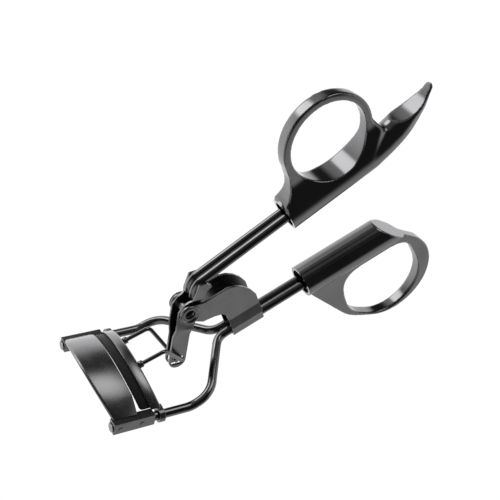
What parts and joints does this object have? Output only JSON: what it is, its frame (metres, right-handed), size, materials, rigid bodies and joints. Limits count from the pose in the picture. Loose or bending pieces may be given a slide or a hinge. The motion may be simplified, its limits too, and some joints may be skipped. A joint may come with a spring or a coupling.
{
  "type": "eyelash curler",
  "caption": "Hand-held eyelash curler: a wire frame with an arched jaw, a sliding padded jaw and two finger-loop handles hinged on a hollow rivet.",
  "frame": {"origin": "middle of the hollow rivet's bore, midway between the bracket's cheeks", "axes": "+X along the lower handle towards the finger loops, +Y from the lower handle to the upper one, +Z along the rivet towards the near side, so the tool lies on its side"},
  "size_m": [0.1135, 0.0873, 0.0358],
  "materials": {
    "wire": "black nickel plating, polished",
    "stamped_sheet": "black nickel plating, satin",
    "rivets": "black nickel plating, satin",
    "grip": "plated black nickel, high gloss",
    "pad": "matt silicone rubber"
  },
  "bodies": {
    "frame": {"frame_wire_near": "wire", "frame_wire_far": "wire", "bracket": "stamped_sheet", "pivot_rivet": "rivets", "lower_grip": "grip", "fixed_jaw": "stamped_sheet", "rail_clip_near": "stamped_sheet", "rail_clip_far": "stamped_sheet", "clip_rivets": "rivets"},
    "handle": {"handle_wire_near": "wire", "handle_wire_far": "wire", "lever": "stamped_sheet", "upper_grip": "grip"},
    "jaw": {"pad_holder": "stamped_sheet", "lash_pad": "pad", "guide_collar_near": "rivets", "guide_collar_far": "rivets", "yoke_wire_near": "wire", "yoke_wire_far": "wire", "yoke_foot_near": "rivets", "yoke_foot_far": "rivets"}
  },
  "joints": [
    {"name": "handle_pivot", "type": "hinge", "parent": "frame", "child": "handle", "pos_m": [0, 0, 0], "axis": [0, 0, 1], "range_deg": [-0.7, 22]},
    {"name": "jaw_slide", "type": "slide", "parent": "frame", "child": "jaw", "axis": [0.893, -0.4501, 0], "range_m": [-0.0002, 0.0063]}
  ],
  "couplings": [
    {"joint": "jaw_slide", "follows": "handle_pivot", "m_per_rad": 0.0163}
  ]
}
